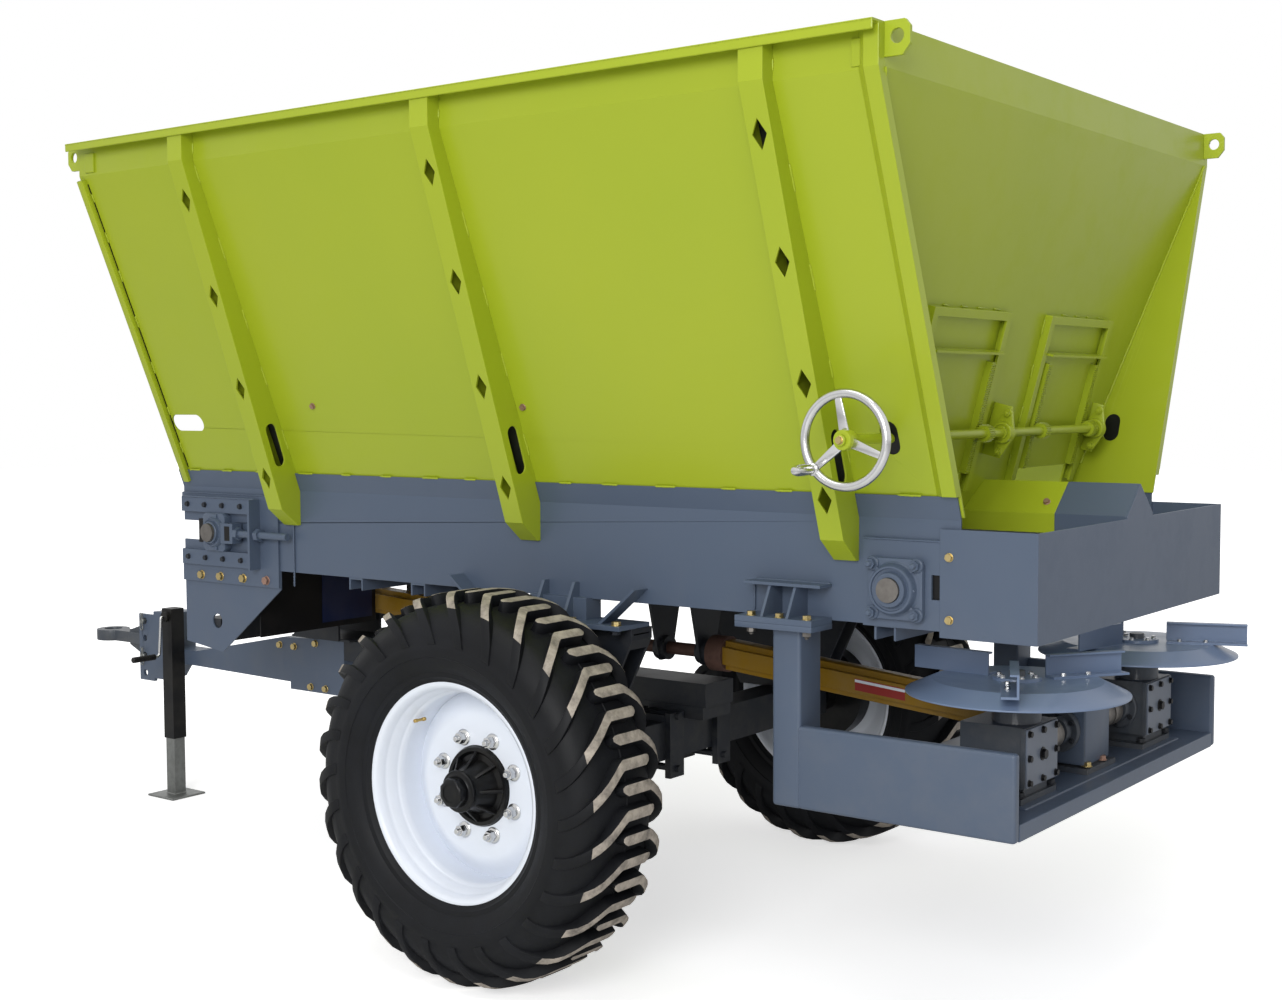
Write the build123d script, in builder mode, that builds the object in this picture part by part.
from build123d import *
import math
import os

os.makedirs("parts", exist_ok=True)

# Manure spreader with two spinning discs.
# +X points to the tow ring, +Y to the left, +Z up. The ground is Z = 0.
# The origin is on the ground, under the middle of the length and of the width.
# Pairs in brackets are (low, high) or (rear, front).

# ---------------------------------------------------------------- driving sizes

axle_x = -700               # wheel axle, from the middle of the length
sheet = 6                   # hopper and bed sheet
plate = 10                  # brackets and gussets
thin = 4                    # covers and hood
seat = 0.3                  # gap between fitted pieces
run_fit = 0.05              # radial clearance of a shaft in its bearing
sides = {"left": 1, "right": -1}

# bed under the hopper
bed_front_x = axle_x + 1632
bed_rear_x = axle_x - 1272
bed_half = 623              # half width outside its side sheets
bed_low_z = 1020
bed_fold_z = 1284           # the side sheet leans out above this

# hopper
hopper_front_x = axle_x + 1612
hopper_rear_x = axle_x - 1278
rim_z = 2381                # top of the hopper
band_h = 96                 # upright band below the rim
rim_half = 1017             # half width outside the band
rim_lip = 50                # lip along the long sides
foot_z = bed_fold_z + 57    # where the slope meets the bed
foot_half = bed_half + 15   # half width outside the slope at its foot
sheet_low_z = bed_fold_z + sheet
front_low_z = 1240          # lower edge of the front wall
rear_lean = 14.7            # rear wall, degrees from upright
rear_foot_z = foot_z - 115  # lower edge of the rear wall
post_w = 62                 # folded post along the rear edge of each side
post_h = 22

# channel ribs on the hopper sides
rib_x = [axle_x + 1077, axle_x + 69, axle_x - 964]
rib_w = 66
rib_wall = 5
rib_top_out = 43            # depth from the band
rib_low_z = 1228
rib_low_half = bed_half + 77
rib_foot_z = 1174
diamond = (40, 70)          # holes in a rib's face, across and along
diamond_low_z = 1328
diamond_step = 281
diamond_n = 4
rib_slot = (140, 40)        # oval holes in its two walls
rib_slot_z = 1433

# covers over the middle of the bed
ridge_half = 90
ridge_top_z = 1350
ridge_fold_z = 1270
ridge_low_z = 1218
ridge_joint_x = axle_x - 1275

# conveyors: two shafts, two chains to each conveyor
drive_x = axle_x - 1108
drive_z = 1113
idler_x = axle_x + 1441
idler_z = 1136
chain_r = 52
chain_t = 12
chain_w = 40
slat_pitch = 508
slat_h = 20
slat_w = 45
conveyor_y = (104, bed_half - 19)
chain_inset = 30            # from a slat's end to its chain
shaft_r = 30
bearing_half = 75

# gates on the rear wall, and the shaft that lifts them by rack and pinion
gate_y = 345                # centre of each gate
gate_half = 205
gate_plate = 8
gate_low_z = rear_foot_z + 150
gate_top_z = gate_low_z + 324
guide_low_z = gate_low_z - 46
guide_top_z = gate_top_z + 100
guide_w = 14
guide_t = 22
rack_out = 166              # racks, from the gate's centre
rack_w = 22
rack_z = (gate_low_z + 4, gate_top_z - 28)
gear_module = 2
pinion_teeth = 22
tooth_up = 1.6              # tooth height over and under the pitch line
tooth_down = 2.3
backlash = 0.5
gate_shaft_z = gate_low_z + 104
gate_shaft_stand = 53       # from the rear wall, along X
gate_shaft_r = 12
shaft_slot = (80, 47)       # hole in the hopper side
front_slot = (156, 53)      # hole in the hopper side, ahead of the front wall
front_slot_z = 1500
front_slot_off = 95         # its middle, ahead of the wall
wheel_y = 904               # plane of the handwheel
handwheel_r = 107
grip_tube_r = 11
spoke_angles = [80, 200, 320]    # from +X towards +Z

# wheels
wheel_r = 532               # over the lugs
wheel_y0 = 922              # crown centre
casing_r = 500              # between the lugs
lug_n = 26                  # on each side of a tyre
rim_r = 286
rim_flange_r = 298
rim_half_w = 119
disc_face_y = 930
stud_pcd = 275
stud_n = 8
hub_r = 108
spindle_r = 38
axle_side = 118

# frame and drawbar
beam_z = (wheel_r + 98, wheel_r + 171)        # centre beam above the axle
beam_half = 75
draw_x = axle_x + 1448      # the drawbar starts here
draw_bend_x = axle_x + 1778
draw_taper_x = axle_x + 2330
draw_front_x = axle_x + 2462
ring_x = axle_x + 2993      # tip of the tow ring
ring_z = 599
ring_r = 36
ring_out = 66
ring_t = 44
jack_x = axle_x + 2430
jack_y = 75
jack_z = (232, 750)
jack_side = 60
jack_wall = 4
jack_leg_top = 400

# spinning discs and their cradle
disc_x = axle_x - 1316
disc_y = 399
disc_top_z = 880
disc_low_z = 846
disc_r = 274
disc_flat_r = 205
disc_bore_r = 20
vane_reach = 296
vane_h = 58
cradle_half = bed_half + 66
cradle_t = 28
cradle_front_x = axle_x - 784
cradle_post = 83
cradle_rear_x = axle_x - 1446
cradle_z = (546, 756)
hood_x = (axle_x - 1472, axle_x - 1222)
hood_z = (1002, 1263)


# ---------------------------------------------------------------- small helpers

def save(piece, name):
    piece.part.label = name
    export_step(piece.part, f"parts/{name}.step")


def prism(plane, points, depth, mode=Mode.ADD):
    """A straight piece with the outline given on a plane."""
    with BuildSketch(plane) as outline:
        with BuildLine():
            Polyline(*points, close=True)
        make_face()
    extrude(outline.sketch, amount=depth, mode=mode)


def upright(points, y, mode=Mode.ADD):
    """An outline of (x, z) points between a pair of y."""
    prism(Plane.XZ.offset(-max(y)), points, abs(y[1] - y[0]), mode)


def across_bed(points, x, mode=Mode.ADD):
    """An outline of (y, z) points between a pair of x."""
    prism(Plane.YZ.offset(min(x)), points, abs(x[1] - x[0]), mode)


def bar(x, y, z, mode=Mode.ADD):
    """A block between pairs of x, y and z."""
    middle = tuple((low + high) / 2 for low, high in (x, y, z))
    length = [abs(high - low) for low, high in (x, y, z)]
    with Locations(middle):
        Box(*length, mode=mode)


def rod_y(x, z, y, r, mode=Mode.ADD):
    """A round bar along Y between a pair of y."""
    with BuildSketch(Plane.XZ.offset(-max(y))) as end:
        with Locations((x, z)):
            Circle(r)
    extrude(end.sketch, amount=abs(y[1] - y[0]), mode=mode)


def rod_x(y, z, x, r, mode=Mode.ADD):
    """A round bar along X between a pair of x."""
    with BuildSketch(Plane.YZ.offset(min(x))) as end:
        with Locations((y, z)):
            Circle(r)
    extrude(end.sketch, amount=abs(x[1] - x[0]), mode=mode)


def rod_z(x, y, z, r, mode=Mode.ADD):
    """An upright round bar between a pair of z."""
    with BuildSketch(Plane.XY.offset(min(z))) as end:
        with Locations((x, y)):
            Circle(r)
    extrude(end.sketch, amount=abs(z[1] - z[0]), mode=mode)


def mirror_y(points, s):
    """An outline of (y, z) points on the left (s = 1) or the right (s = -1)."""
    return [(s * y, z) for y, z in points]


# ---------------------------------------------------------------- hopper

kink_z = rim_z - band_h
slope = math.atan2(rim_half - foot_half, kink_z - foot_z)
kink_drop = sheet * math.tan(slope / 2)
across = sheet / math.cos(slope)
rear_tan = math.tan(math.radians(rear_lean))


def side_half(z):
    """Half width outside the hopper sheet at a height."""
    return foot_half + (min(z, kink_z) - foot_z) * math.tan(slope)


def rear_wall_x(z):
    """Outside face of the rear wall at a height."""
    return hopper_rear_x + (kink_z - min(z, kink_z)) * rear_tan


def front_wall_x(z):
    """Outside face of the front wall at a height."""
    return hopper_front_x - (kink_z - min(z, kink_z)) * rear_tan


gate_shaft_x = rear_wall_x(gate_shaft_z) - gate_shaft_stand

side_outline = [
    (side_half(sheet_low_z), sheet_low_z),
    (rim_half, kink_z),
    (rim_half, rim_z - sheet),
    (rim_half + rim_lip, rim_z - sheet),
    (rim_half + rim_lip, rim_z),
    (rim_half - sheet, rim_z),
    (rim_half - sheet, kink_z + kink_drop),
    (side_half(sheet_low_z) - across, sheet_low_z),
]
post_flat = 0.6 * post_w    # its outer face; the rest folds back to the sheet
for side, s in sides.items():
    with BuildPart() as hopper_side:
        across_bed(mirror_y(side_outline, s), (hopper_rear_x, hopper_front_x))
        for low_z, high_z in ((foot_z, kink_z), (kink_z, rim_z - sheet)):
            for z in (low_z, high_z):
                base = side_half(z)
                with BuildSketch(Plane.XY.offset(z)):
                    with BuildLine():
                        Polyline(
                            (hopper_rear_x, s * (base - 1)),
                            (hopper_rear_x, s * (base + post_h)),
                            (hopper_rear_x + post_flat, s * (base + post_h)),
                            (hopper_rear_x + post_w, s * (base - 1)),
                            close=True,
                        )
                    make_face()
            loft(ruled=True)
        slot_y = s * side_half(gate_shaft_z)
        with BuildSketch(Plane.XZ.offset(-(slot_y + post_w))):
            with Locations((gate_shaft_x, gate_shaft_z)):
                SlotOverall(*shaft_slot, rotation=90)
            with Locations((front_wall_x(front_slot_z) + front_slot_off, front_slot_z)):
                SlotOverall(*front_slot)
        extrude(amount=2 * post_w, mode=Mode.SUBTRACT)
    save(hopper_side, f"hopper_side_{side}")

inner_space = [
    (side_half(bed_low_z) - across, bed_low_z),
    (side_half(kink_z) - across, kink_z),
    (rim_half - sheet, kink_z + kink_drop),
    (rim_half - sheet, rim_z),
]
inner_space += [(-y, z) for y, z in reversed(inner_space)]
hopper_x = (hopper_rear_x - 1, hopper_front_x)

front_outline = [
    (front_wall_x(front_low_z), front_low_z),
    (hopper_front_x, kink_z),
    (hopper_front_x, rim_z),
    (hopper_front_x - sheet, rim_z),
    (hopper_front_x - sheet, kink_z),
    (front_wall_x(front_low_z) - sheet, front_low_z),
]
with BuildPart() as hopper_front:
    upright(front_outline, (-rim_half, rim_half))
    across_bed(inner_space, hopper_x, Mode.INTERSECT)
save(hopper_front, "hopper_front_panel")

rear_outline = [
    (rear_wall_x(rear_foot_z), rear_foot_z),
    (hopper_rear_x, kink_z),
    (hopper_rear_x, rim_z),
    (hopper_rear_x + sheet, rim_z),
    (hopper_rear_x + sheet, kink_z),
    (rear_wall_x(rear_foot_z) + sheet, rear_foot_z),
]
ridge_outline = [
    (-ridge_half, ridge_low_z), (-ridge_half, ridge_fold_z), (0, ridge_top_z),
    (ridge_half, ridge_fold_z), (ridge_half, ridge_low_z),
]
wall_reach = (hopper_rear_x, rear_wall_x(rear_foot_z) + 2 * post_w)
gate_hole_half = gate_half - 15
gate_hole_z = (rear_foot_z - 1, gate_top_z - 60)
with BuildPart() as hopper_rear:
    upright(rear_outline, (-rim_half, rim_half))
    across_bed(inner_space, hopper_x, Mode.INTERSECT)
    notch = [(y * 1.002, z + seat) for y, z in ridge_outline]
    notch[0] = (notch[0][0], rear_foot_z - post_h)
    notch[-1] = (notch[-1][0], rear_foot_z - post_h)
    across_bed(notch, wall_reach, Mode.SUBTRACT)
    for s in sides.values():
        y = s * gate_y
        bar(wall_reach, (y - gate_hole_half, y + gate_hole_half), gate_hole_z, Mode.SUBTRACT)
save(hopper_rear, "hopper_rear_panel")

rib_top_z = rim_z - sheet
rib_lean = math.atan2(rim_half + rib_top_out - rib_low_half, kink_z - rib_low_z)


def rib_half(z):
    """Half width outside a rib's face at a height."""
    return rib_low_half + (z - rib_low_z) * math.tan(rib_lean)


rib_outline = [
    (rim_half, kink_z),
    (rim_half, rib_top_z),
    (rim_half + rib_top_out, rib_top_z),
    (rim_half + rib_top_out, kink_z),
    (rib_low_half, rib_low_z),
    (bed_half + 2 * sheet, rib_foot_z),
    (bed_half, rib_foot_z),
    (bed_half, bed_fold_z - 2),
    (foot_half + across, foot_z),
    (foot_half, foot_z),
]
rib_hollow = [
    (rim_half - 1, kink_z),
    (rim_half - 1, rib_top_z - rib_wall),
    (rim_half + rib_top_out - rib_wall, rib_top_z - rib_wall),
    (rim_half + rib_top_out - rib_wall, kink_z),
    (rib_low_half - rib_wall, rib_low_z + rib_wall),
    (bed_half + 2 * sheet + rib_wall, rib_foot_z + 2 * rib_wall),
    (bed_half - 1, rib_foot_z + 2 * rib_wall),
    (bed_half - 1, bed_fold_z),
    (foot_half - 1, foot_z),
]
with BuildPart() as ribs:
    for s in sides.values():
        for x in rib_x:
            across_bed(mirror_y(rib_outline, s), (x - rib_w / 2, x + rib_w / 2))
            inside_w = rib_w / 2 - rib_wall
            across_bed(mirror_y(rib_hollow, s), (x - inside_w, x + inside_w), Mode.SUBTRACT)
            for i in range(diamond_n):
                z = diamond_low_z + i * diamond_step
                half_w, half_h = diamond[0] / 2, diamond[1] / 2
                out = sorted((s * (rib_half(z) - half_h), s * (rib_half(z) + half_h)))
                upright([(x - half_w, z), (x, z - half_h), (x + half_w, z), (x, z + half_h)],
                        out, Mode.SUBTRACT)
            with BuildSketch(Plane.YZ.offset(x - rib_w)):
                with Locations((s * (side_half(rib_slot_z) + rib_half(rib_slot_z)) / 2, rib_slot_z)):
                    SlotOverall(*rib_slot, rotation=90 - s * math.degrees(rib_lean))
            extrude(amount=2 * rib_w, mode=Mode.SUBTRACT)
save(ribs, "hopper_ribs")

eye_reach = 62
eye_h = 76
eye_r = 16
with BuildPart() as lifting_eyes:
    for s in sides.values():
        y = s * (rim_half - sheet / 2 - plate / 2)
        for x, way in ((hopper_rear_x, -1), (hopper_front_x, 1)):
            # share of the reach, share of the height
            corners = [(0, 1), (0.7, 1), (1, 0.7), (1, 0.2), (0.8, 0), (0, 0)]
            upright([(x + way * (seat + (eye_reach - seat) * a), rim_z - eye_h * b) for a, b in corners],
                    (y - plate / 2, y + plate / 2))
            rod_y(x + way * eye_reach / 2, rim_z - 0.45 * eye_h, (y - plate, y + plate), eye_r, Mode.SUBTRACT)
save(lifting_eyes, "lifting_eyes")

# ---------------------------------------------------------------- bed

bed_outline = [
    (bed_half, bed_low_z),
    (bed_half, bed_fold_z),
    (foot_half + across - 0.5, foot_z),
    (foot_half + 0.2, foot_z),
    (side_half(sheet_low_z) + 0.2, sheet_low_z),
    (bed_half - sheet, bed_fold_z),
    (bed_half - sheet, bed_low_z),
]
gusset_rear_x = axle_x + 1146
gusset_low_z = (730, 754)
gusset_outline = [
    (gusset_rear_x, bed_low_z + 1),
    (gusset_rear_x, 959),
    (axle_x + 1443, gusset_low_z[0]),
    (bed_front_x, gusset_low_z[1]),
    (bed_front_x, bed_low_z + 1),
]
idler_slot = 32
for side, s in sides.items():
    cut_y = (s * bed_half - 30, s * bed_half + 30)
    with BuildPart() as bed_side:
        across_bed(mirror_y(bed_outline, s), (bed_rear_x, bed_front_x))
        upright(gusset_outline, (s * (bed_half - sheet), s * bed_half))
        rod_y(axle_x + 1468, 833, cut_y, 24, Mode.SUBTRACT)
        rod_y(idler_x, idler_z, cut_y, idler_slot, Mode.SUBTRACT)
        bar((idler_x, bed_front_x + 1), cut_y, (idler_z - idler_slot, idler_z + idler_slot), Mode.SUBTRACT)
        rod_y(drive_x, drive_z, cut_y, shaft_r + 8, Mode.SUBTRACT)
    save(bed_side, f"bed_side_{side}")

inside = bed_half - sheet


def run_z(x):
    """Height of the line between the two conveyor shafts."""
    return drive_z + (idler_z - drive_z) * (x - drive_x) / (idler_x - drive_x)


floor_x = (drive_x + 110, idler_x - 110)
floor_up = chain_r - 1
with BuildPart() as bed_floor:
    upright([
        (floor_x[0], run_z(floor_x[0]) + floor_up),
        (floor_x[1], run_z(floor_x[1]) + floor_up),
        (floor_x[1], run_z(floor_x[1]) + floor_up - sheet),
        (floor_x[0], run_z(floor_x[0]) + floor_up - sheet),
    ], (-inside, inside))
save(bed_floor, "bed_floor")

member_half = 30
member_h = 70
under_h = 38
with BuildPart() as cross_members:
    # angles under the floor
    for x in (axle_x + 1080, axle_x + 420, axle_x - 240, axle_x - 900):
        low, high = x - member_half, x + member_half
        under = [run_z(low) + floor_up - sheet, run_z(high) + floor_up - sheet]
        upright([(low, under[0]), (high, under[1]), (high, under[1] - sheet),
                 (low + sheet, under[0] - sheet), (low + sheet, under[0] - member_h),
                 (low, under[0] - member_h)], (-inside, inside))
    # channels under the bed, open below
    for x in (axle_x + 795, axle_x + 525, axle_x - 1070):
        low, high = x - member_half, x + member_half
        bar((low, high), (-bed_half, bed_half), (bed_low_z - under_h, bed_low_z))
        bar((low + sheet, high - sheet), (-rim_half, rim_half),
            (bed_low_z - under_h - 1, bed_low_z - sheet), Mode.SUBTRACT)
save(cross_members, "bed_cross_members")

ridge_shell = ridge_outline + [
    (ridge_half - thin, ridge_low_z), (ridge_half - thin, ridge_fold_z - 2), (0, ridge_top_z - 5),
    (-ridge_half + thin, ridge_fold_z - 2), (-ridge_half + thin, ridge_low_z),
]
with BuildPart() as ridge_front:
    across_bed(ridge_shell, (ridge_joint_x, hopper_front_x - sheet))
    # its front end lies against the leaning wall
    upright([
        (front_wall_x(ridge_low_z - 1) - sheet, ridge_low_z - 1),
        (front_wall_x(ridge_top_z + 1) - sheet, ridge_top_z + 1),
        (hopper_front_x, ridge_top_z + 1),
        (hopper_front_x, ridge_low_z - 1),
    ], (-ridge_half - 1, ridge_half + 1), Mode.SUBTRACT)
save(ridge_front, "ridge_cover")

with BuildPart() as ridge_rear:
    across_bed(ridge_shell, (hood_x[0] + thin, ridge_joint_x - seat))
save(ridge_rear, "ridge_cover_rear")

# ---------------------------------------------------------------- conveyors

loop_steps = 4              # flats round half a shaft
chain_ys = (conveyor_y[0] + chain_w / 2 + chain_inset, conveyor_y[1] - chain_w / 2 - chain_inset)


def loop(y, r, mode=Mode.ADD):
    """A closed loop around the two shafts, chain_w wide and r from each shaft."""
    points = []
    corner_r = r / math.cos(math.pi / 2 / loop_steps)
    for x, z, first in ((idler_x, idler_z, 90), (drive_x, drive_z, -90)):
        for i in range(loop_steps):
            a = math.radians(first - 180 * (i + 0.5) / loop_steps)
            points.append((x + corner_r * math.cos(a), z + corner_r * math.sin(a)))
    upright(points, (y - chain_w / 2, y + chain_w / 2), mode)


for side, s in sides.items():
    with BuildPart() as conveyor:
        for y in chain_ys:
            loop(s * y, chain_r + chain_t)
            loop(s * y, chain_r, Mode.SUBTRACT)
        for i in range(int((idler_x - drive_x) / slat_pitch) + 1):
            x = drive_x + i * slat_pitch
            slat_x = (x - slat_w / 2, x + slat_w / 2)
            slat_y = sorted(s * y for y in (chain_ys[0] + chain_w / 2, chain_ys[1] - chain_w / 2))
            bar(slat_x, slat_y, (run_z(x) + chain_r, run_z(x) + chain_r + slat_h))
            bar(slat_x, slat_y, (run_z(x) - chain_r - slat_h, run_z(x) - chain_r))
    save(conveyor, f"conveyor_{side}")

shaft_half = bed_half + 62
with BuildPart() as shafts:
    for x, z in ((drive_x, drive_z), (idler_x, idler_z)):
        rod_y(x, z, (-shaft_half, shaft_half), shaft_r)
        for s in sides.values():
            for y in chain_ys:
                rod_y(x, z, (s * y - 12, s * y + 12), chain_r - seat)
save(shafts, "conveyor_shafts")

housing_r = 45
take_up_half = (56, 64)     # sliding housing of the idler, half length and half height
slide_t = 12
with BuildPart() as bearings:
    for s in sides.values():
        bar((drive_x - bearing_half, drive_x + bearing_half),
            sorted((s * bed_half, s * (bed_half + 16))),
            (drive_z - bearing_half, drive_z + bearing_half))
        rod_y(drive_x, drive_z, sorted((s * bed_half, s * (bed_half + 48))), housing_r)
        rod_y(drive_x, drive_z, sorted((s * (bed_half - 1), s * (bed_half + 49))),
              shaft_r + run_fit, Mode.SUBTRACT)
        bar((idler_x - take_up_half[0], idler_x + take_up_half[0]),
            sorted((s * bed_half, s * (bed_half + 30))),
            (idler_z - take_up_half[1] + seat, idler_z + take_up_half[1] - seat))
        rod_y(idler_x, idler_z, sorted((s * bed_half, s * (bed_half + 50))), housing_r)
        rod_y(idler_x, idler_z, sorted((s * (bed_half - 1), s * (bed_half + 51))),
              shaft_r + run_fit, Mode.SUBTRACT)
save(bearings, "conveyor_bearings")

# plates with guide bars and a screw that hold the idler bearings
frame_t = 8
guide_bar_h = 50
screw_r = 12
window_x = idler_x - take_up_half[0] - 142
with BuildPart() as tensioners:
    for s in sides.values():
        face = bed_half + frame_t
        plate_y = sorted((s * bed_half, s * face))
        bar((gusset_rear_x, bed_front_x), plate_y, (964, 1262))
        bar((window_x, bed_front_x + 1), sorted((s * (bed_half - 1), s * (face + 1))),
            (idler_z - take_up_half[1], idler_z + take_up_half[1]), Mode.SUBTRACT)
        bar_y = sorted((s * face, s * (face + slide_t)))
        for low in (idler_z - take_up_half[1] - guide_bar_h, idler_z + take_up_half[1]):
            bar((window_x, bed_front_x - slide_t), bar_y, (low, low + guide_bar_h))
        bar((window_x - plate, window_x), sorted((s * face, s * (face + 45))),
            (idler_z - take_up_half[1] - guide_bar_h, idler_z + take_up_half[1] + guide_bar_h))
        rod_x(s * (face + 22), idler_z, (axle_x + 1075, idler_x - take_up_half[0] - seat), screw_r)
        # yoke on the housing
        bar((idler_x - take_up_half[0] - 60, idler_x - take_up_half[0] - seat),
            sorted((s * face, s * (face + 40))), (idler_z - 33, idler_z + 33))
save(tensioners, "tensioners")

# ---------------------------------------------------------------- gates

lean = math.radians(rear_lean)
rear_up = (-math.sin(lean), 0, math.cos(lean))
rear_out = (-math.cos(lean), 0, -math.sin(lean))
wall_origin = (rear_wall_x(gate_shaft_z), 0, gate_shaft_z)
wall_plane = Plane(origin=wall_origin, x_dir=(0, -1, 0), z_dir=rear_out)
shaft_out = gate_shaft_stand * math.cos(lean)     # the shaft's axis, off the wall
shaft_up = gate_shaft_stand * math.sin(lean)      # and up the wall
pitch_r = gear_module * pinion_teeth / 2
tooth_pitch = math.pi * gear_module
rack_pitch_out = shaft_out - pitch_r


def up(z):
    """Distance up the rear wall from the gate shaft's height."""
    return (z - gate_shaft_z) / math.cos(lean)


def wall_point(out, along):
    """The (x, z) point at a distance out from the rear wall and along it."""
    return (
        wall_origin[0] + out * rear_out[0] + along * rear_up[0],
        wall_origin[2] + out * rear_out[2] + along * rear_up[2],
    )


def wall_block(y, z, out, mode=Mode.ADD):
    """A block on the rear wall, between pairs of y, heights and distances from it."""
    low, high = up(z[0]), up(z[1])
    with BuildSketch(wall_plane.offset(out[0])) as face:
        with Locations((-(y[0] + y[1]) / 2, (low + high) / 2)):
            Rectangle(abs(y[1] - y[0]), high - low)
    extrude(face.sketch, amount=out[1] - out[0], mode=mode)


# half widths of a tooth at its pitch line, and how it narrows towards its tip
tooth_half = tooth_pitch / 4 - backlash / 2
flank = math.tan(math.radians(20))
rack_root = tooth_half + tooth_down * flank
rack_tip = tooth_half - tooth_up * flank
pinion_root = tooth_half + 0.45
pinion_tip = tooth_half - 0.75


def rack_outline():
    """A rack's (x, z) outline: its back on the gate, its teeth towards the shaft."""
    low, high = up(rack_z[0]), up(rack_z[1])
    points = [wall_point(2 + gate_plate, high), wall_point(2 + gate_plate, low)]
    valley, crest = rack_pitch_out - tooth_down, rack_pitch_out + tooth_up
    points.append(wall_point(valley, low))
    first = math.ceil((low - shaft_up) / tooth_pitch)
    last = math.floor((high - shaft_up) / tooth_pitch) - 1
    for i in range(first, last + 1):
        middle = shaft_up + (i + 0.5) * tooth_pitch
        points += [
            wall_point(valley, middle - rack_root), wall_point(crest, middle - rack_tip),
            wall_point(crest, middle + rack_tip), wall_point(valley, middle + rack_root),
        ]
    points.append(wall_point(valley, high))
    return points


def pinion_outline():
    """A pinion's (x, z) outline, with one tooth square to the rear wall."""
    points = []
    root, tip = pitch_r - tooth_down, pitch_r + tooth_up
    for i in range(pinion_teeth):
        a = lean + 2 * math.pi * i / pinion_teeth
        for r, half in ((root, -pinion_root), (tip, -pinion_tip), (tip, pinion_tip), (root, pinion_root)):
            points.append((
                gate_shaft_x + r * math.cos(a) - half * math.sin(a),
                gate_shaft_z + r * math.sin(a) + half * math.cos(a),
            ))
    return points


lip_over = 12               # how far a guide's lip covers the gate's edge
with BuildPart() as guides:
    for s in sides.values():
        y = s * gate_y
        for edge in (-1, 1):
            inner = y + edge * (gate_half + seat)
            outer = y + edge * (gate_half + guide_w)
            lip = y + edge * (gate_half - lip_over)
            wall_block(sorted((inner, outer)), (guide_low_z, guide_top_z), (0, guide_t))
            wall_block(sorted((lip, inner)), (guide_low_z, guide_top_z), (gate_plate + sheet, guide_t))
        wall_block((y - gate_half - 1, y + gate_half + 1), (guide_top_z - guide_t, guide_top_z), (0, guide_t))
save(guides, "gate_guides")

rack_ys = [s * gate_y + edge * rack_out for s in sides.values() for edge in (-1, 1)]
gate_out = (2, 2 + gate_plate)
for side, s in sides.items():
    y = s * gate_y
    with BuildPart() as gate:
        wall_block((y - gate_half, y + gate_half), (gate_low_z, gate_top_z), gate_out)
        wall_block((y - gate_half + guide_w, y + gate_half - guide_w), (gate_top_z - sheet, gate_top_z),
                   (gate_out[1], gate_out[1] + 30))
        for rack_y in rack_ys:
            if abs(rack_y - y) < gate_half:
                upright(rack_outline(), (rack_y - rack_w / 2, rack_y + rack_w / 2))
    save(gate, f"gate_{side}")

bearing_ys = {"left": gate_y + gate_half + guide_w + 5, "middle": 58, "right": -(gate_y + gate_half + guide_w + 5)}
pinion_half = 14
with BuildPart() as gate_shaft:
    rod_y(gate_shaft_x, gate_shaft_z, (bearing_ys["right"] - 40, wheel_y + 24), gate_shaft_r)
    for y in rack_ys:
        upright(pinion_outline(), (y - pinion_half, y + pinion_half))
save(gate_shaft, "gate_shaft")

flange_half = (66, 22)      # oval flange of a bearing, along the wall and off it
bracket_half = 72
flange_r = 29
behind_wall = 200
with BuildPart() as shaft_bearings:
    for y in bearing_ys.values():
        low, high = shaft_up - bracket_half, shaft_up + bracket_half
        upright([wall_point(0, high), wall_point(shaft_out + 14, high - 30),
                 wall_point(shaft_out + 14, low + 30), wall_point(0, low)], (y - 4, y + 4))
        upright([wall_point(shaft_out - flange_half[1], shaft_up + 30),
                 wall_point(shaft_out - 10, shaft_up + flange_half[0]),
                 wall_point(shaft_out + 10, shaft_up + flange_half[0]),
                 wall_point(shaft_out + flange_half[1], shaft_up + 30),
                 wall_point(shaft_out + flange_half[1], shaft_up - 30),
                 wall_point(shaft_out + 10, shaft_up - flange_half[0]),
                 wall_point(shaft_out - 10, shaft_up - flange_half[0]),
                 wall_point(shaft_out - flange_half[1], shaft_up - 30)], (y + 4, y + 12))
        rod_y(gate_shaft_x, gate_shaft_z, (y + 4, y + 26), flange_r)
        rod_y(gate_shaft_x, gate_shaft_z, (y - 40, y + 40), gate_shaft_r + run_fit, Mode.SUBTRACT)
    # nothing stands inside the wall or its guides
    upright([wall_point(0, behind_wall), wall_point(0, -behind_wall),
             wall_point(-behind_wall, -behind_wall), wall_point(-behind_wall, behind_wall)],
            (-rim_half, rim_half), Mode.SUBTRACT)
save(shaft_bearings, "gate_shaft_bearings")

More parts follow.
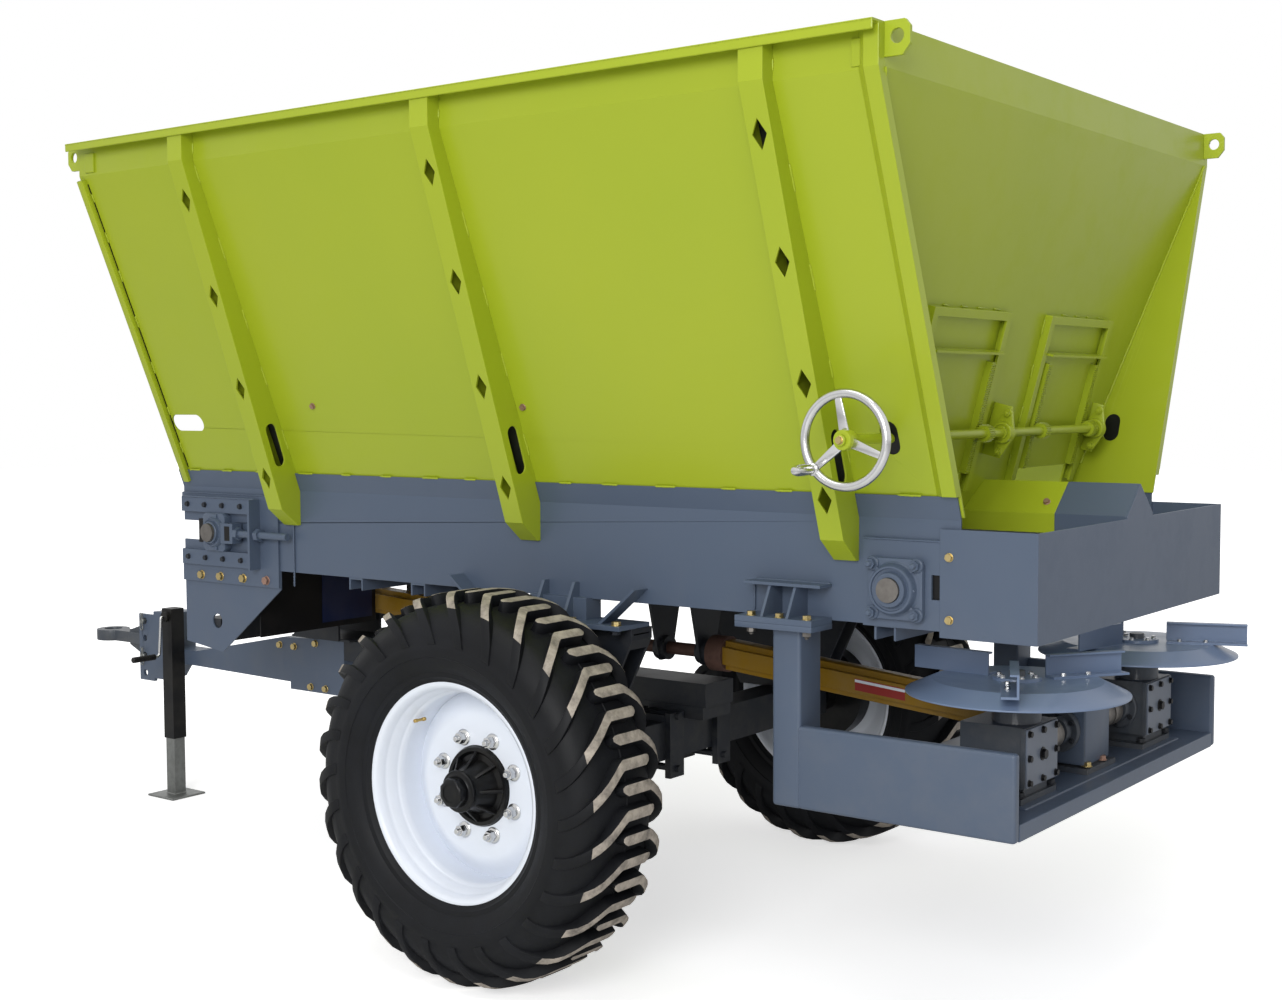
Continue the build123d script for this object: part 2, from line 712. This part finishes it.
spoke_root, spoke_tip = 13, 8
knob_reach, knob_r = 90, 13
with BuildPart() as handwheel:
    # the ring's seam lies between two spokes
    seam = math.radians(spoke_angles[0] + 60)
    ring_plane = Plane(
        origin=(gate_shaft_x, wheel_y, gate_shaft_z),
        x_dir=(math.cos(seam), 0, math.sin(seam)), z_dir=(0, 1, 0),
    )
    with Locations(ring_plane):
        Torus(handwheel_r, grip_tube_r)
    rod_y(gate_shaft_x, gate_shaft_z, (wheel_y - 20, wheel_y + 18), 24)
    for angle in spoke_angles:
        a = math.radians(angle)
        corners = [(0, -spoke_root), (handwheel_r, -spoke_tip), (handwheel_r, spoke_tip), (0, spoke_root)]
        upright([(gate_shaft_x + r * math.cos(a) - w * math.sin(a),
                  gate_shaft_z + r * math.sin(a) + w * math.cos(a)) for r, w in corners],
                (wheel_y - 6, wheel_y + 6))
    knob = (gate_shaft_x + handwheel_r * math.cos(a), gate_shaft_z + handwheel_r * math.sin(a))
    rod_y(*knob, (wheel_y, wheel_y + knob_reach), knob_r)
    rod_y(gate_shaft_x, gate_shaft_z, (wheel_y - 60, wheel_y + 60), gate_shaft_r + run_fit, Mode.SUBTRACT)
save(handwheel, "handwheel")

# ---------------------------------------------------------------- wheels and axle

bore_r = (rim_r + 1) / math.cos(math.pi / lug_n)
# distance from the crown centre, radius
casing = [(156, 400), (100, casing_r)]
casing_loop = casing + [(-y, r) for y, r in reversed(casing)]
bead = (rim_half_w - 7, 322)
turn = 360 / lug_n
lug_w = 40
lug_tip = -55               # the crown end of a lug, from the middle towards its own side
lug_shoulder = 108
lug_foot = (158, 407)       # where it ends on the sidewall
lug_skew = math.radians(24.5)    # its run, from the axle's direction


def facets(y, r):
    """A flat-sided outline around the axle, on a plane square to it."""
    with BuildSketch(Plane.XZ.offset(-y)) as ring:
        with Locations((axle_x, wheel_r)):
            RegularPolygon(r, lug_n)
    return ring.sketch


def lug_point(y, r):
    """Along a lug's run and up, for a place at y from the crown centre with its outer corner at radius r."""
    run = y / math.cos(lug_skew)
    aside = abs(run) * math.sin(lug_skew) + lug_w / 2 * math.cos(lug_skew)
    return run, math.sqrt(r ** 2 - aside ** 2)


lug_outline = [
    (lug_point(lug_tip, wheel_r)[0], casing_r - 30),
    lug_point(lug_tip, wheel_r),
    lug_point(lug_shoulder, wheel_r - 4),
    lug_point(*lug_foot),
]


def lug(y0, hand, first):
    """One lug, a slab that crosses the crown and runs down the sidewall, at an angle from -X towards +Z."""
    a = math.radians(first)
    out = Vector(-math.cos(a), 0, math.sin(a))
    back = Vector(-math.sin(a), 0, -math.cos(a))
    run = Vector(0, hand * math.cos(lug_skew), 0) + back * math.sin(lug_skew)
    upright_plane = Plane(origin=(axle_x, y0, wheel_r), x_dir=run, z_dir=run.cross(out))
    with BuildSketch(upright_plane.offset(-lug_w / 2)) as side_face:
        with BuildLine():
            Polyline(*lug_outline, close=True)
        make_face()
    return extrude(side_face.sketch, amount=lug_w, mode=Mode.PRIVATE)


for side, s in sides.items():
    with BuildPart() as tyre:
        loft([facets(s * wheel_y0 + y, r) for y, r in casing_loop], ruled=True)
        for way in (-1, 1):
            loft([facets(s * wheel_y0 + way * y, r) for y, r in (bead, (casing[0][0] + 0.1, casing[0][1] + 0.1))],
                 ruled=True, mode=Mode.SUBTRACT)
        loft([facets(s * wheel_y0 + y, bore_r) for y in (-bead[0] - 1, bead[0] + 1)],
             ruled=True, mode=Mode.SUBTRACT)
        lugs = []
        for row in (1, -1):
            for i in range(lug_n):
                lugs.append(lug(s * wheel_y0, s * row, turn * (i + (row < 0) / 2)))
        add(lugs)
    save(tyre, f"tyre_{side}")

    # distance from the crown centre, radius; the outside of the barrel
    barrel = [(rim_half_w, rim_flange_r), (rim_half_w - 7, rim_flange_r), (rim_half_w - 7, rim_r),
              (75, rim_r), (60, rim_r - 14)]
    wall = 10
    inner = [(60, rim_r - 14 - wall), (75, rim_r - wall), (rim_half_w, rim_r - wall)]
    profile = barrel + [(-y, r) for y, r in reversed(barrel)]
    profile += [(-y, r) for y, r in reversed(inner)] + inner
    disc_y0 = disc_face_y - wheel_y0
    dish = [(disc_y0, 110.5), (disc_y0, 195), (disc_y0 - 38, rim_r - 14 - wall / 2),
            (disc_y0 - 50, rim_r - 14 - wall / 2), (disc_y0 - 12, 190), (disc_y0 - 12, 110.5)]
    with BuildPart() as rim:
        for outline in (profile, dish):
            with BuildSketch(Plane.YZ.offset(axle_x)) as half:
                with BuildLine():
                    Polyline(*[(s * (wheel_y0 + y), wheel_r + r) for y, r in outline], close=True)
                make_face()
            revolve(half.sketch, axis=Axis((axle_x, 0, wheel_r), (0, 1, 0)))
        with BuildSketch(Plane.XZ.offset(-(s * disc_face_y + 40))) as studs:
            with Locations((axle_x, wheel_r)):
                with PolarLocations(stud_pcd / 2, stud_n, start_angle=180 / stud_n):
                    Circle(9.5)
        extrude(studs.sketch, amount=80, mode=Mode.SUBTRACT)
    save(rim, f"wheel_rim_{side}")

    # distance from the middle of the machine, radius
    back = disc_face_y - 12
    hub_profile = [
        (800, spindle_r + run_fit), (800, 150), (back - 30, 165), (back, 165), (back, hub_r), (936, hub_r),
        (946, hub_r - 18), (1008, 46), (1045, 46), (1045, 0), (1000, 0), (1000, spindle_r + run_fit),
    ]
    with BuildPart() as hub:
        with BuildSketch(Plane.YZ.offset(axle_x)) as half:
            with BuildLine():
                Polyline(*[(s * y, wheel_r + r) for y, r in hub_profile], close=True)
            make_face()
        revolve(half.sketch, axis=Axis((axle_x, 0, wheel_r), (0, 1, 0)))
        for i in range(stud_n):
            a = math.radians(360 / stud_n * (i + 0.5))
            fin = Plane(
                origin=(axle_x, 0, wheel_r), x_dir=(math.cos(a), 0, math.sin(a)),
                z_dir=(-math.sin(a), 0, math.cos(a)),
            )
            fin_y = -s if fin.y_dir.Y < 0 else s
            with BuildSketch(fin.offset(-4)) as web:
                with BuildLine():
                    Polyline((60, fin_y * 930), (104, fin_y * 930), (52, fin_y * 1012), (40, fin_y * 1000), close=True)
                make_face()
            extrude(web.sketch, amount=8)
        with BuildSketch(Plane.XZ.offset(-(s * disc_face_y + 32))) as studs:
            with Locations((axle_x, wheel_r)):
                with PolarLocations(stud_pcd / 2, stud_n, start_angle=180 / stud_n):
                    Circle(9)
        extrude(studs.sketch, amount=64)
    save(hub, f"wheel_hub_{side}")

axle_half = 790
spindle_half = 995
axle_z = (wheel_r - axle_side / 2, wheel_r + axle_side / 2)
with BuildPart() as axle_beam:
    bar((axle_x - axle_side / 2, axle_x + axle_side / 2), (-axle_half, axle_half), axle_z)
    rod_y(axle_x, wheel_r, (-spindle_half, spindle_half), spindle_r)
save(axle_beam, "axle_beam")

# ---------------------------------------------------------------- chassis

frame_x = axle_x + 1500
gusset_half = 102
portal_z = beam_z[1] + 137    # top of the lower portal bar
with BuildPart() as centre_frame:
    bar((axle_x - 150, draw_x), (-beam_half, beam_half), beam_z)
    # portal under the front of the bed
    bar((frame_x - 40, frame_x + 40), (-inside, inside), (beam_z[1] + 57, portal_z))
    bar((frame_x - 40, frame_x + 40), (-inside, inside), (bed_low_z - 20, bed_low_z))
    for s in sides.values():
        bar((frame_x - 40, frame_x + 40), sorted((s * 95, s * 175)), (portal_z, bed_low_z))
        upright([(frame_x - 60, beam_z[1]), (frame_x + 190, beam_z[1]), (frame_x + 60, portal_z),
                 (frame_x - 60, portal_z)], sorted((s * (gusset_half - 5), s * (gusset_half + 5))))
    bar((frame_x - 60, frame_x + 190), (-gusset_half - 5, gusset_half + 5), (beam_z[1], beam_z[1] + 8))
    bar((draw_x - 60, draw_x - seat), (-gusset_half, gusset_half), (beam_z[1], beam_z[1] + 8))
save(centre_frame, "centre_beam")

clamp_z = (418, 617)
clamp_t = 20
with BuildPart() as axle_clamps:
    bar((axle_x - 140, axle_x + 140), (-beam_half, beam_half), (axle_z[1], beam_z[0]))
    bar((axle_x - axle_side / 2, axle_x + axle_side / 2), (-165, 165), (axle_z[1], axle_z[1] + 20))
    for y in (-126, 126):
        for way in (-1, 1):
            face = axle_x + way * axle_side / 2
            bar(sorted((face, face + way * clamp_t)), (y - 36, y + 36), clamp_z)
        for z in (clamp_z[0] + 26, clamp_z[1] - 12):
            rod_x(y, z, (axle_x - 90, axle_x + 90), 11)
save(axle_clamps, "axle_clamps")

hanger_z = (950, 963)       # plate between the black post and the hanger
post_half = (310, 150)      # half length of a post at its top and at the axle
post_y = (560, 652)
with BuildPart() as axle_posts:
    for s in sides.values():
        post = [(axle_x - post_half[0], hanger_z[0]), (axle_x + post_half[0], hanger_z[0]),
                (axle_x + post_half[0], hanger_z[0] - 30), (axle_x + post_half[1], axle_z[1]),
                (axle_x - post_half[1], axle_z[1]), (axle_x - post_half[0], hanger_z[0] - 30)]
        upright(post, sorted((s * post_y[0], s * post_y[1])))
        hollow = [(axle_x - post_half[0] - 1, hanger_z[0] - 14), (axle_x + post_half[0] + 1, hanger_z[0] - 14),
                  (axle_x + post_half[1] + 50, axle_z[1] + 14), (axle_x - post_half[1] - 50, axle_z[1] + 14)]
        upright(hollow, sorted((s * (post_y[0] + plate), s * (post_y[1] - plate))), Mode.SUBTRACT)
save(axle_posts, "axle_posts")

hanger_out = bed_half + 82
brace_top = (335, 1062)
with BuildPart() as axle_hangers:
    for s in sides.values():
        wall_y = sorted((s * bed_half, s * (bed_half + 60)))
        bar((axle_x - 308, axle_x + 308), sorted((s * (bed_half - 55), s * hanger_out)), hanger_z)
        bar((axle_x - 150, axle_x + 55), sorted((s * (bed_half - 40), s * (bed_half + 27))), (hanger_z[1], bed_low_z))
        bar((axle_x - 150, axle_x + 55), sorted((s * bed_half, s * (bed_half + 27))), (bed_low_z, bed_low_z + 4))
        for x in (axle_x - 100, axle_x + 10):
            across_bed(mirror_y([
                (bed_half, hanger_z[1]), (hanger_out - 10, hanger_z[1]), (bed_half + 20, 1066), (bed_half, 1066),
            ], s), (x - plate / 2, x + plate / 2))
        for way in (-1, 1):
            foot_x, top_x = axle_x + way * 215, axle_x + way * brace_top[0]
            upright([(foot_x, hanger_z[1]), (top_x, brace_top[1]), (top_x + way * plate, brace_top[1]),
                     (foot_x + way * plate * 1.4, hanger_z[1])], wall_y)
save(axle_hangers, "axle_hangers")

draw_half = (beam_half, 45)
draw_profile = [
    (draw_x, 497), (axle_x + 1739, 497), (axle_x + 1739, 524), (draw_front_x, 524),
    (draw_front_x, 582), (draw_taper_x, 582), (draw_bend_x, 689), (draw_x, 702),
]
draw_plan = [
    (draw_x - 1, draw_half[0]), (draw_bend_x, draw_half[0]), (draw_taper_x, draw_half[1]),
    (draw_front_x + 300, draw_half[1]),
]
hitch_z = (440, 709)
ear_half = (46, 60)
ear_x = (draw_front_x + 113, draw_front_x + 207)
hitch_holes = [470, 540, 611, 681]
with BuildPart() as drawbar:
    upright(draw_profile, (-beam_half, beam_half))
    prism(Plane.XY, draw_plan + [(x, -y) for x, y in reversed(draw_plan)], rim_z, Mode.INTERSECT)
    # adjustable hitch: a box behind two ears with four pairs of holes
    upright([(draw_front_x, 513), (draw_front_x + 14, 513), (draw_front_x + 64, 452), (ear_x[0], 452),
             (ear_x[0], 724), (draw_front_x, 724)], (-ear_half[1], ear_half[1]))
    for s in sides.values():
        bar(ear_x, sorted((s * ear_half[0], s * ear_half[1])), hitch_z)
        for z in hitch_holes:
            rod_y(draw_front_x + 171, z, sorted((s * (ear_half[0] - 1), s * (ear_half[1] + 1))), 13, Mode.SUBTRACT)
save(drawbar, "drawbar")

ring_centre = ring_x - ring_out
with BuildPart() as tow_ring:
    tongue_half = ear_half[0] - seat
    bar((ear_x[0] + seat, ear_x[1] + 10), (-tongue_half, tongue_half), (ring_z - 75, ring_z + 63))
    # tapers from the plate between the ears to the ring
    tongue = [(ear_x[1] + 10, tongue_half), (ear_x[1] + 116, 30), (ring_centre, 34)]
    prism(Plane.XY.offset(ring_z - ring_t / 2), tongue + [(x, -y) for x, y in reversed(tongue)], ring_t)
    upright([(ear_x[1] + 10, ring_z - 75), (ear_x[1] + 10, ring_z + 63), (ear_x[1] + 116, ring_z + 30),
             (ear_x[1] + 116, ring_z - 30)], (-22, 22))
    rod_z(ring_centre, 0, (ring_z - ring_t / 2, ring_z + ring_t / 2), ring_out)
    rod_z(ring_centre, 0, (ring_z - ring_t, ring_z + ring_t), ring_r, Mode.SUBTRACT)
save(tow_ring, "tow_ring")

leg_side = jack_side - 2 * (jack_wall + seat)
foot_side, foot_t = 160, 8
tube_half = jack_side / 2
with BuildPart() as jack_tube:
    tube_x = (jack_x - tube_half, jack_x + tube_half)
    tube_y = (jack_y - tube_half, jack_y + tube_half)
    bar(tube_x, tube_y, jack_z)
    bar((jack_x - leg_side / 2 - seat, jack_x + leg_side / 2 + seat),
        (jack_y - leg_side / 2 - seat, jack_y + leg_side / 2 + seat),
        (jack_z[0] - 1, jack_z[1] - jack_wall), Mode.SUBTRACT)
    rod_y(jack_x, jack_z[1] - 32, (jack_y + tube_half, jack_y + tube_half + 14), 20)
save(jack_tube, "jack_tube")

with BuildPart() as jack_leg:
    bar((jack_x - leg_side / 2, jack_x + leg_side / 2), (jack_y - leg_side / 2, jack_y + leg_side / 2),
        (foot_t, jack_leg_top))
    bar((jack_x - foot_side / 2, jack_x + foot_side / 2), (jack_y - foot_side / 2, jack_y + foot_side / 2),
        (0, foot_t))
save(jack_leg, "jack_leg")

crank_z = (530, jack_z[1] - 32)
crank_y = jack_y + tube_half + 14
with BuildPart() as jack_crank:
    rod_y(jack_x, crank_z[1], (crank_y, crank_y + 16), 10)
    bar((jack_x - 3, jack_x + 21), (crank_y + 10, crank_y + 18), crank_z)
    bar((jack_x - 13, jack_x + 21), (crank_y + 10, crank_y + 18), (crank_z[1] - 14, crank_z[1] + 14))
    rod_y(jack_x + 9, crank_z[0] + 10, (crank_y + 10, crank_y + 154), 15)
save(jack_crank, "jack_crank")

# ---------------------------------------------------------------- driveline

line_z = 791
line_r = 20
line_x = (axle_x - 190, axle_x + 230)
joint_r = 55
hanger_x = (axle_x - 100, axle_x + 60)
hub_half = 38
box_z = 702                 # centre of the three gearboxes
box_front_x = disc_x + 110
with BuildPart() as line_shaft:
    rod_x(0, line_z, line_x, line_r)
    rod_x(0, line_z, (line_x[0], line_x[0] + 60), joint_r)
save(line_shaft, "line_shaft")

with BuildPart() as line_hangers:
    for x in hanger_x:
        across_bed([(-100, bed_low_z), (100, bed_low_z), (hub_half, line_z - 20), (24, line_z - hub_half),
                    (-24, line_z - hub_half), (-hub_half, line_z - 20)], (x - plate / 2, x + plate / 2))
        rod_x(0, line_z, (x - 20, x + 20), hub_half)
        rod_x(0, line_z, (x - 40, x + 40), line_r + run_fit, Mode.SUBTRACT)
    bar((hanger_x[0] - 20, hanger_x[1] + 30), (-inside, inside), (bed_low_z, bed_low_z + 8))
save(line_hangers, "line_hangers")

input_x = (frame_x - 50, frame_x + 112)
input_z = (761, 927)
input_shaft_z = 860
guard_r = 44
stub_r = 17.5
with BuildPart() as shaft_guards:
    # rear and front end of each guard: x, z
    for (x0, z0), (x1, z1) in (
        ((box_front_x, box_z), (line_x[0], line_z)),
        ((line_x[1], line_z), (input_x[0], input_shaft_z)),
    ):
        way = math.atan2(z1 - z0, x1 - x0)
        rise, back = guard_r / math.cos(way), guard_r
        upright([(x0, z0 - rise), (x1, z1 - rise), (x1, z1 + rise), (x0, z0 + rise)], (-back, back))
        trim = guard_r * 0.6
        for s in sides.values():
            for edge in (1, -1):
                upright([(x0 - 1, z0 + edge * rise * 1.1), (x1 + 1, z1 + edge * rise * 1.1),
                         (x1 + 1, z1 + edge * trim), (x0 - 1, z0 + edge * trim)],
                        sorted((s * trim, s * 2 * back)), Mode.SUBTRACT)
save(shaft_guards, "shaft_guards")

with BuildPart() as input_box:
    bar(input_x, (-94.5, 94.5), (input_z[0] + 79.3, input_z[1]))
    bar((frame_x + 41, input_x[1]), (-94.5, 94.5), input_z)
    rod_x(0, input_shaft_z, (input_x[1], input_x[1] + 85), stub_r)
save(input_box, "input_gearbox")

# ---------------------------------------------------------------- cradle, gearboxes and discs

bracket_x = (axle_x - 920, axle_x - 693)
bracket_out = bed_half + 100
foot_plate_z = (998, 1013)
with BuildPart() as brackets:
    for s in sides.values():
        bar(bracket_x, sorted((s * bed_half, s * bracket_out)), (foot_plate_z[1], 1028))
        bar(bracket_x, sorted((s * bed_half, s * (bed_half + 60))), (1104, 1112))
        for x in (axle_x - 770, axle_x - 845):
            across_bed(mirror_y([
                (bed_half, 1028), (bracket_out - 5, 1028), (bed_half + 55, 1104), (bed_half, 1104),
            ], s), (x - 4, x + 4))
save(brackets, "cradle_brackets")

post_x = (cradle_front_x - cradle_post, cradle_front_x)
cradle_in = cradle_half - cradle_t
for side, s in sides.items():
    with BuildPart() as cradle_side:
        out = s * cradle_half
        bar(bracket_x, sorted((s * (bed_half - 3), s * bracket_out)), foot_plate_z)
        bar(post_x, sorted((out, out - s * 104)), (cradle_z[0], foot_plate_z[0]))
        bar((cradle_rear_x, post_x[0]), sorted((out, s * cradle_in)), cradle_z)
        bar((cradle_rear_x + plate, post_x[0] + 1), sorted((s * (cradle_in - 1), s * (cradle_half - sheet))),
            (cradle_z[0] + sheet, cradle_z[1] - sheet), Mode.SUBTRACT)
    save(cradle_side, f"cradle_side_{side}")

tray_z = (cradle_z[0], cradle_z[0] + 41)
base_top = tray_z[1] + thin
with BuildPart() as cradle_base:
    bar((cradle_rear_x, post_x[0]), (-cradle_in, cradle_in), (tray_z[1] - 8, tray_z[1]))
    for x in (cradle_rear_x, post_x[0] - plate):
        bar((x, x + plate), (-cradle_in, cradle_in), tray_z)
    bar((disc_x - 80, box_front_x + 20), (-disc_y - 120, disc_y + 120), (tray_z[1], base_top))
save(cradle_base, "cradle_base")

box_z_range = (628, 777)
stand_half = 81
box_half = 94
with BuildPart() as gearboxes:
    bar((disc_x - 46, box_front_x), (-stand_half, stand_half), (635, 785))
    bar((disc_x - 40, box_front_x - 10), (-stand_half + 20, stand_half - 20), (base_top, 635))
    bar((disc_x - 60, box_front_x + 10), (-stand_half - 14, stand_half + 14), (base_top, base_top + 14))
    for s in sides.values():
        y = s * disc_y
        bar((disc_x - 54, box_front_x), (y - box_half + 6, y + box_half - 6), box_z_range)
        bar((disc_x - 64, disc_x - 54), (y - box_half, y + box_half), box_z_range)
        bar((disc_x - 50, box_front_x - 10), (y - 70, y + 70), (base_top, box_z_range[0]))
        bar((disc_x - 60, box_front_x + 10), (y - 104, y + 104), (base_top, base_top + 14))
        rod_y(disc_x + 20, box_z, sorted((s * stand_half, s * (stand_half + 14))), 55)
        rod_z(disc_x, y, (box_z_range[1], box_z_range[1] + 35), 60)
        rod_z(disc_x, y, (box_z_range[1] + 35, disc_top_z + 22), disc_bore_r)
save(gearboxes, "gearboxes")

shaft_ends = (stand_half + 14, disc_y - box_half + 6)
coupling_y = (150, 250)
with BuildPart() as cross_shafts:
    for s in sides.values():
        rod_y(disc_x + 20, box_z, sorted((s * shaft_ends[0], s * shaft_ends[1])), 22)
        rod_y(disc_x + 20, box_z, sorted((s * coupling_y[0], s * (sum(coupling_y) / 2 - 4))), 40)
        rod_y(disc_x + 20, box_z, sorted((s * coupling_y[1], s * (sum(coupling_y) / 2 + 4))), 40)
save(cross_shafts, "cross_shafts")

vane_start = {"left": -5, "right": -160}
vane_n = 3
vane_root = 80
vane_mid = (vane_root + vane_reach) / 2
# an upright web on a foot with a lip on top: across low, across high, up low, up high
vane_section = [(-3, 3, 0, vane_h), (-39, 3, 0, 6), (-19, 3, vane_h - 5, vane_h)]
disc_profile = [
    (disc_bore_r + run_fit, disc_top_z - 6), (disc_flat_r, disc_top_z - 6),
    (disc_r - 5, disc_low_z), (disc_r, disc_low_z), (disc_r, disc_low_z + 4), (disc_flat_r + 3, disc_top_z),
    (60, disc_top_z), (60, disc_top_z + 8), (disc_bore_r + run_fit, disc_top_z + 8),
]
for side, s in sides.items():
    y = s * disc_y
    with BuildPart() as disc:
        with BuildSketch(Plane.XZ.offset(-y)) as half:
            with BuildLine():
                Polyline(*[(disc_x + r, z) for r, z in disc_profile], close=True)
            make_face()
        revolve(half.sketch, axis=Axis((disc_x, y, 0), (0, 0, 1)))
        for i in range(vane_n):
            a = math.radians(vane_start[side] + 360 / vane_n * i)
            for low, high, z0, z1 in vane_section:
                place = Plane(
                    origin=(disc_x, y, disc_top_z + z0), x_dir=(math.cos(a), math.sin(a), 0), z_dir=(0, 0, 1)
                )
                with BuildSketch(place) as strip:
                    with Locations((vane_mid, (low + high) / 2)):
                        Rectangle(vane_reach - vane_root, high - low)
                extrude(strip.sketch, amount=z1 - z0)
    save(disc, f"disc_{side}")

hood_half = bed_half + 10
gable = [(-hood_half, hood_z[0]), (hood_half, hood_z[0]), (hood_half, hood_z[1]),
         (ridge_half, hood_z[1]), (ridge_half, ridge_fold_z), (0, ridge_top_z),
         (-ridge_half, ridge_fold_z), (-ridge_half, hood_z[1]), (-hood_half, hood_z[1])]
with BuildPart() as hood:
    across_bed(gable, (hood_x[0], hood_x[0] + thin))
    for s in sides.values():
        bar(hood_x, sorted((s * hood_half, s * (hood_half - thin))), hood_z)
        bar((bed_rear_x, hood_x[1]), sorted((s * (hood_half - thin), s * bed_half)), (hood_z[0] + 160, hood_z[1] - 10))
save(hood, "rear_hood")
